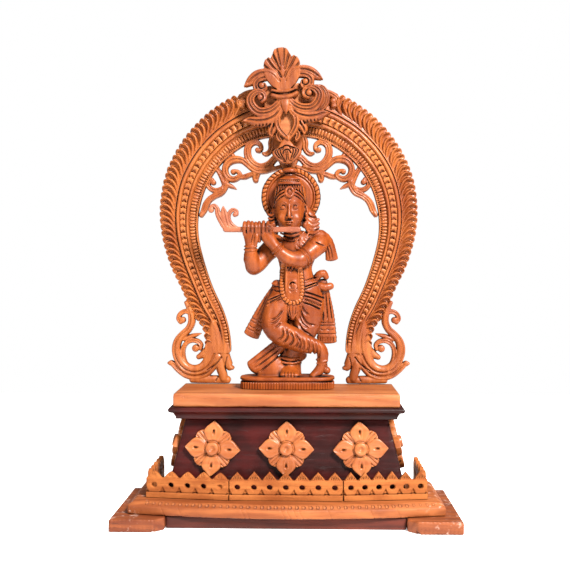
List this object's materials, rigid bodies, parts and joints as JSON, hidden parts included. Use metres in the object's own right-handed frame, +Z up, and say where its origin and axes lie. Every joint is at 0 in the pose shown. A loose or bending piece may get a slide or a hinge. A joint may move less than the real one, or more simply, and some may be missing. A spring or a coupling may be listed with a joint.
{
  "type": "carved wooden flute player figure under an arch",
  "caption": "Carved wooden figure of a flute player under an openwork horseshoe arch with a leafy crest, on a dark stained plinth with rosettes and a pierced gallery.",
  "frame": {"origin": "on the floor under the middle of the two foot rails", "axes": "+Z up; the figure faces -Y; +X is to the right as seen from the front"},
  "size_m": [0.317, 0.12, 0.4526],
  "materials": {
    "carved_wood": "satin",
    "figure_wood": "varnished",
    "flute_wood": "satin",
    "dark_stain": "gloss varnish over dark stain"
  },
  "bodies": {
    "root": {"foot_rail_left": "carved_wood", "foot_rail_right": "carved_wood", "apron_front": "dark_stain", "apron_back": "dark_stain", "base_board": "carved_wood", "gallery_front_left": "carved_wood", "gallery_front_centre": "carved_wood", "gallery_front_right": "carved_wood", "gallery_side_left": "carved_wood", "gallery_side_right": "carved_wood", "plinth_block": "dark_stain", "plinth_cap": "dark_stain", "rosette_front_left": "carved_wood", "rosette_front_centre": "carved_wood", "rosette_front_right": "carved_wood", "rosette_side_left": "carved_wood", "rosette_side_right": "carved_wood", "top_board": "carved_wood", "arch": "carved_wood", "crest": "carved_wood", "krishna_figure": "figure_wood", "flute": "flute_wood"}
  },
  "joints": []
}
